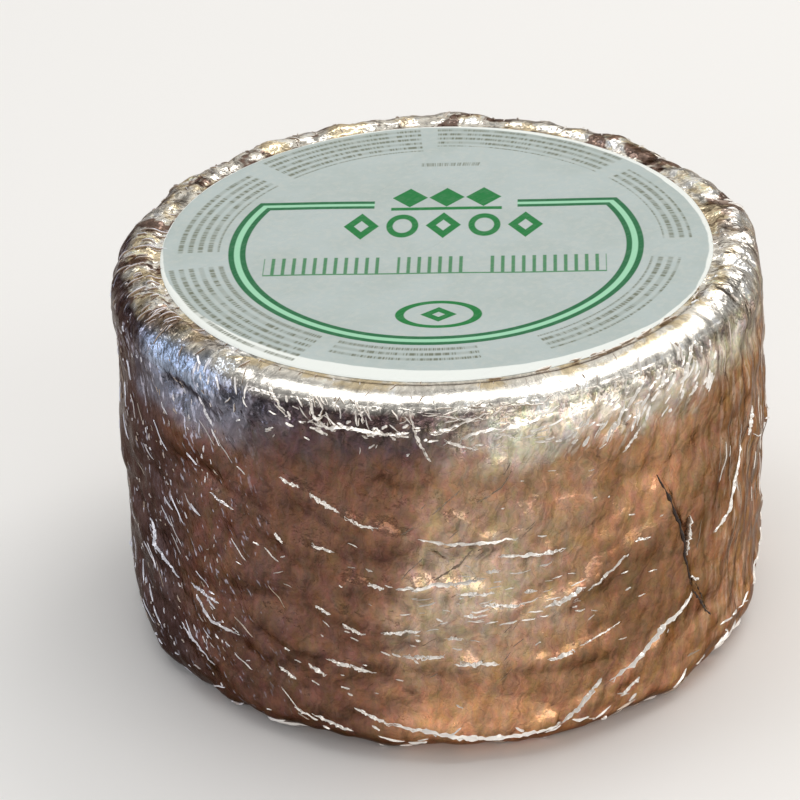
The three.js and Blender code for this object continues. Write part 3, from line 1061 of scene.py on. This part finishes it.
def crease_material(s):
    """Foil painted bright along a sharp crease as a painted highlight, bluer on the left as a painted cold
    reflection, with painted shade on dull creases, or a dark painted shadow inside a slit.
    """
    g = Graph("sharp_creases")
    x, y, _ = g.place()
    turn = x.math("ARCTAN2", -y) * math.degrees(1)
    tone = g.attribute("tone")
    cold = turn.rise(-28, -52) * turn.rise(-150, -120)
    # Painted shadow inside the slit, and painted shade on the dull creases
    body = g.blend(tone.rise(0.05, 0.40), s.slit, s.crease_shade)
    # Painted highlight on the bright creases, bluer on the left
    body = g.blend(tone.rise(0.35, 0.80), body, g.blend(cold * 0.7, s.crease, s.cold_crease))
    return g.surface(base_color=body, metallic=0.5, roughness=0.30)


# The label's print, in shares of the wheel's radius from its middle, and in degrees from its right
FRAME_OUT, FRAME_IN, FRAME_TOP, FRAME_TOP_IN, FRAME_LINE = 0.632, 0.596, 0.300, 0.266, 0.0088
FRAME_GAP = (-0.20, 0.25)
ORNAMENTS = dict(left=-0.30, right=0.34, middle=0.135, period=0.128)
TOP_ROW = dict(left=-0.147, right=0.201, middle=0.330, period=0.116, foot=0.252)
BARS = dict(reach=0.525, low=-0.185, high=-0.075, period=0.032, gaps=((-0.17, -0.115), (0.10, 0.155)))
SMALL_ROWS = 0.0305
SMALL_PRINT = (
    # from angle, to angle, inner radius, outer radius
    (95, 134, 0.668, 0.83),
    (45, 91, 0.700, 0.83),
    (140, 182, 0.668, 0.80),
    (190, 241, 0.652, 0.83),
    (246, 282, 0.652, 0.735),
    (-62, -8, 0.668, 0.76),
    (2, 40, 0.70, 0.79),
)
OVAL_AT = dict(across=0.02, up=-0.45)
NOTE = dict(across=(-0.06, 0.13), up=(0.552, 0.576))
SOFT = 0.004  # how soft the print's edges are
LABEL_LEAN = math.radians(2.4)  # how far the print is turned on the wheel

# The paper's white margin: its least width in millimetres, what it gains towards the front and the back
# and where it is widest there, in degrees from the label's right, and how far its edge strays
MARGIN = dict(least=0.5, front=5.6, front_at=-108, back=1.6, back_at=42, stray=2.5)


def lozenge(x, y, half_x, half_y, hole):
    """A lozenge with a lozenge hole: |x| / half_x + |y| / half_y is between hole and 1."""
    return (abs(x) / half_x + abs(y) / half_y).within(hole, 1, SOFT / half_x)


def oval(x, y, half_x, half_y, hole):
    """An oval ring: the root of (x / half_x)^2 + (y / half_y)^2 is between hole and 1."""
    x, y = x / half_x, y / half_y
    return (x * x + y * y).math("SQRT").within(hole, 1, SOFT / half_x)


def print_masks(g, across, up):
    """Masks of the frame's lines, the mint between them, the solid green and the small print."""
    radius = (across * across + up * up).math("SQRT")
    turn = up.math("ARCTAN2", across) * math.degrees(1)
    gap = across.within(*FRAME_GAP, SOFT) * up.rise(0.2, 0.21)
    outer = (radius - FRAME_OUT) | (up - FRAME_TOP)
    inner = (radius - FRAME_IN) | (up - FRAME_TOP_IN)
    lines = (outer.line(FRAME_LINE, SOFT) | inner.line(FRAME_LINE, SOFT)) * (1 - gap)
    mint = outer.rise(SOFT, -SOFT) * inner.rise(-SOFT, SOFT) * (1 - gap)

    o = ORNAMENTS
    cell = (across - o["left"]) / o["period"]
    odd = (cell.math("FLOOR") * 0.5).math("FRACT").rise(0.2, 0.3)
    x, y = (across - o["left"]).repeat(o["period"]), up - o["middle"]
    row = lozenge(x, y, 0.055, 0.088, 0.42) * (1 - odd) + oval(x, y, 0.050, 0.078, 0.60) * odd
    green = row * across.within(o["left"], o["right"], SOFT)
    t = TOP_ROW
    row = lozenge((across - t["left"]).repeat(t["period"]), up - t["middle"], 0.056, 0.066, -1)
    foot = (up - t["foot"]).line(0.01, SOFT)
    green = green | (row | foot) * across.within(t["left"], t["right"], SOFT)

    b = BARS
    bars = across.repeat(b["period"]).line(0.0055, SOFT) * up.within(b["low"], b["high"], SOFT)
    for low, high in b["gaps"]:
        bars = bars * (1 - across.within(low, high, SOFT))
    bars = bars | (up - b["low"]).line(0.004, SOFT)
    bars = bars * across.within(-b["reach"], b["reach"], SOFT) * up.within(-0.2, 0, SOFT)
    green = green | bars * 0.85
    x, y = across - OVAL_AT["across"], up - OVAL_AT["up"]
    green = green | oval(x, y, 0.13, 0.085, 0.80) | lozenge(x, y, 0.055, 0.045, 0.35)

    rows = (radius - SMALL_PRINT[3][2]) / SMALL_ROWS
    along = turn * math.radians(WHEEL_RADIUS * 0.75)
    spot = g.vector(along, rows.math("FLOOR") * 17, 0)
    dashes = g.noise(spot, 2.2, 2.0).rise(0.42, 0.58) * g.noise(spot, 0.16, 1.0).rise(0.36, 0.42)
    ruled = (rows.math("FRACT") - 0.5).line(0.25, 0.24)
    groups = None
    for start, end, near, out in SMALL_PRINT:
        middle, half = (start + end) / 2, (end - start) / 2
        away = ((turn - middle + 540) / 360).math("FRACT") * 360 - 180
        group = away.line(half, 0.4) * radius.within(near, out, SOFT)
        groups = groups | group if groups else group
    small = ruled * (dashes * 0.80 + 0.30) * groups
    note = up.within(*NOTE["up"], SOFT) * across.within(*NOTE["across"], SOFT)
    small = small | note * g.noise(g.vector(along, 0, 0), 1.4, 1.0).rise(0.44, 0.54) * 0.8
    return lines, mint, green, small


def label_material(s):
    """Pale, slightly creased paper with a double green frame, plain green ornaments between bands of
    broken grey lines, and a whiter margin."""
    g = Graph("printed_paper")
    x, y, z = g.place()
    where = g.vector(x, y, z)
    lean_x, lean_y = math.cos(LABEL_LEAN), math.sin(LABEL_LEAN)
    across, up = (x * lean_x - y * lean_y) / WHEEL_RADIUS, (x * lean_y + y * lean_x) / WHEEL_RADIUS
    lines, mint, green, small = print_masks(g, across, up)

    cloud = g.noise(where, 0.045, 4.0, 0.6)
    fleck = g.noise(where, 0.5, 3.0, 0.6)
    paper = g.blend(cloud.rise(0.35, 0.68) * 0.5, s.paper, s.cloud)
    paper = g.blend(fleck.rise(0.45, 0.65) * 0.25, paper, s.fleck)
    turn = y.math("ARCTAN2", x)
    width = (cloud - 0.5) * MARGIN["stray"] + MARGIN["least"]
    for side in ("front", "back"):
        near = (turn - math.radians(MARGIN[side + "_at"])).math("COSINE").math("MAXIMUM", 0.0)
        width = width + near * near * MARGIN[side]
    inside = LABEL_RADIUS - width - (x * x + y * y).math("SQRT")
    paper = g.blend(inside.rise(0.25, -0.25), paper, s.margin)
    worn = 0.96 + 0.04 * fleck.rise(0.65, 0.45)
    colour = g.blend(mint * 0.85, paper, s.mint)
    colour = g.blend(small * 0.9, colour, s.small)
    colour = g.blend(lines * worn, colour, s.line)
    colour = g.blend(green * worn, colour, s.green)

    slanted = g.vector((x + y) * 0.35, (x - y) * 1.3, 0)
    wrinkles = abs(g.noise(slanted, 0.05, 3.0, 0.55) - 0.5).rise(0.05, 0.0)
    height = wrinkles * 0.5 + g.noise(where, 0.25, 4.0, 0.6) * 0.5
    normal = g.bump(height, 0.25, 0.6)
    return g.surface(base_color=colour, roughness=0.42, specular_ior_level=0.18, normal=normal)


def floor_material(colour):
    """A matt pale surface with a trace of unevenness."""
    g = Graph("pale_floor")
    x, y, z = g.place()
    grain = g.noise(g.vector(x, y, z), 0.003, 2.0)
    shade = g.blend(grain.rise(0.3, 0.7) * 0.03, colour, tuple(c * 0.9 for c in colour))
    return g.surface(base_color=shade, roughness=0.7)


# ---------- the stage


FLOOR_HALF = 4.0  # half its side, in metres
FLOOR_DROP = 0.0003  # how far it lies under the wheel's base, in metres

# The soft lights: name, azimuth from the front towards the right, elevation, distance, width and depth
# in metres, radiance and colour
LIGHTS = (
    ("overhead", 180, 87, 2.1, 2.6, 0.9, 2.7, (1.0, 0.985, 0.96)),
    ("right_key", 132, 48, 2.2, 1.3, 1.3, 2.4, (1.0, 0.96, 0.91)),
    ("front_panel", 42, 5, 1.4, 1.6, 0.45, 2.0, (1.0, 0.985, 0.96)),
    ("shoulder_panel", 36, 40, 1.6, 2.0, 0.45, 1.0, (1.0, 0.99, 0.96)),
    ("fill_panel", -16, 22, 1.5, 1.0, 0.35, 1.8, (1.0, 0.99, 0.97)),
    ("sky_panel", -98, 12, 1.8, 1.4, 0.7, 1.6, (0.74, 0.84, 1.0)),
    ("back_panel", 180, 30, 2.0, 1.7, 1.7, 0.45, (1.0, 0.96, 0.86)),
)


def area_light(share, name, azimuth, elevation, distance, width, depth, radiance, colour):
    """A soft light turned to the wheel's top. Its power is its radiance times pi times its area."""
    data = bpy.data.lights.new(name, "AREA")
    data.shape = "RECTANGLE"
    data.size, data.size_y = width, depth
    data.energy = share * radiance * math.pi * width * depth
    data.color = colour
    a, e = math.radians(azimuth), math.radians(elevation)
    way = Vector((math.sin(a) * math.cos(e), -math.cos(a) * math.cos(e), math.sin(e)))
    light = bpy.data.objects.new(name, data)
    light.location = Vector((0, 0, RIM_HEIGHT * MM)) + way * distance
    light.rotation_euler = (-way).to_track_quat("-Z", "Y").to_euler()
    bpy.context.scene.collection.objects.link(light)


def camera_at_photo(scene):
    """The camera stands at the photograph's angle and is aimed so that the wheel's middle falls on the
    same pixel, with the same lean."""
    image_side, sensor = 800, 36
    focal_pixels, distance, elevation, lean = 3792, 1.116, math.radians(29.83), math.radians(-1.96)
    middle_pixel = (441.7, 417.5)
    data = bpy.data.cameras.new("camera")
    data.sensor_width = sensor
    data.lens = focal_pixels / image_side * sensor
    back = Vector((0, -math.cos(elevation), math.sin(elevation)))
    right = Vector((1, 0, 0))
    up = back.cross(right)
    turned_right = right * math.cos(lean) + up * math.sin(lean)
    turned_up = up * math.cos(lean) - right * math.sin(lean)
    to_side = (middle_pixel[0] - image_side / 2) / focal_pixels
    to_foot = (middle_pixel[1] - image_side / 2) / focal_pixels
    middle = Vector((0, 0, RIM_HEIGHT * MM / 2))
    place = middle + back * distance
    aim = middle - turned_right * to_side * distance + turned_up * to_foot * distance
    looking_back = (place - aim).normalized()
    side = turned_up.cross(looking_back).normalized()
    top = looking_back.cross(side)
    matrix = Matrix((side, top, looking_back)).transposed().to_4x4()
    matrix.translation = place
    camera = bpy.data.objects.new("camera", data)
    camera.matrix_world = matrix
    scene.collection.objects.link(camera)
    scene.camera = camera


# ---------- operators


class CHEESE_OT_foil(bpy.types.Operator):
    """Builds the creased foil round the wheel, and the sharp creases pinched up in it"""

    bl_idname = "cheese.foil"
    bl_label = "Foil"

    def execute(self, context):
        s = context.scene.cheese_foil
        angles, section = column_angles(), wheel_section()
        relief = foil_relief(s, angles, section)
        rings = wrap_rings(angles, section, relief)
        faces = closed_faces(len(rings) - 2, COLUMNS)
        wrap = add_piece("foil_wrap", closed_points(rings), faces, foil_material(s))
        add_values(wrap, "slope_light_and_shade", closed_points(paint_slope_light_and_shade(relief, angles, section[3])[..., None]))
        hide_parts("foil_wrapped_wheel")
        points, tones, faces = all_creases(angles, section, relief)
        creases = add_piece("sharp_creases", points, faces, crease_material(s))
        add_values(creases, "tone", tones)
        return {"FINISHED"}


class CHEESE_OT_label(bpy.types.Operator):
    """Builds the printed paper label"""

    bl_idname = "cheese.label"
    bl_label = "Label"

    def execute(self, context):
        rings = label_rings()
        faces = closed_faces(len(rings) - 2, LABEL_COLUMNS)
        material = label_material(context.scene.cheese_label)
        label = add_piece("paper_label", closed_points(rings), faces, material)
        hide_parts("round_label")
        return {"FINISHED"}


class CHEESE_OT_stage(bpy.types.Operator):
    """Builds the floor, the lights and the camera"""

    bl_idname = "cheese.stage"
    bl_label = "Stage"

    def execute(self, context):
        scene = context.scene
        s = scene.cheese_stage
        mesh = bpy.data.meshes.new("floor")
        sides = ((-1, -1), (1, -1), (1, 1), (-1, 1))
        corners = [(x * FLOOR_HALF, y * FLOOR_HALF, -FLOOR_DROP) for x, y in sides]
        mesh.from_pydata(corners, [], [(0, 1, 2, 3)])
        mesh.materials.append(floor_material(tuple(s.floor)))
        floor = bpy.data.objects.new("floor", mesh)
        scene.collection.objects.link(floor)

        world = bpy.data.worlds.new("room")
        world.use_nodes = True
        world.node_tree.nodes["Background"].inputs["Color"].default_value = (*s.room, 1)
        scene.world = world

        for light in LIGHTS:
            area_light(s.light, *light)
        camera_at_photo(scene)
        scene.view_settings.view_transform = "Standard"
        return {"FINISHED"}


class CHEESE_PT_sidebar(bpy.types.Panel):
    """Lists the pieces and their settings in the 3D view's sidebar."""

    bl_idname = "CHEESE_PT_sidebar"
    bl_label = "Cheese Wheel"
    bl_space_type = "VIEW_3D"
    bl_region_type = "UI"
    bl_category = "Cheese Wheel"

    def draw(self, context):
        for operator, (name, kind) in zip(OPERATORS, SETTINGS.items()):
            box = self.layout.box()
            box.operator(operator.bl_idname)
            for setting in kind.__annotations__:
                box.prop(getattr(context.scene, name), setting)


SETTINGS = {"cheese_foil": FoilSettings, "cheese_label": LabelSettings, "cheese_stage": StageSettings}
OPERATORS = (CHEESE_OT_foil, CHEESE_OT_label, CHEESE_OT_stage)
CLASSES = (*SETTINGS.values(), *OPERATORS, CHEESE_PT_sidebar)


def register():
    for kind in CLASSES:
        bpy.utils.register_class(kind)
    for name, kind in SETTINGS.items():
        setattr(bpy.types.Scene, name, PointerProperty(type=kind))


def unregister():
    for name in SETTINGS:
        delattr(bpy.types.Scene, name)
    for kind in reversed(CLASSES):
        bpy.utils.unregister_class(kind)


def main():
    register()
    bpy.ops.cheese.foil()
    bpy.ops.cheese.label()
    bpy.ops.cheese.stage()


if __name__ == "__main__":
    main()
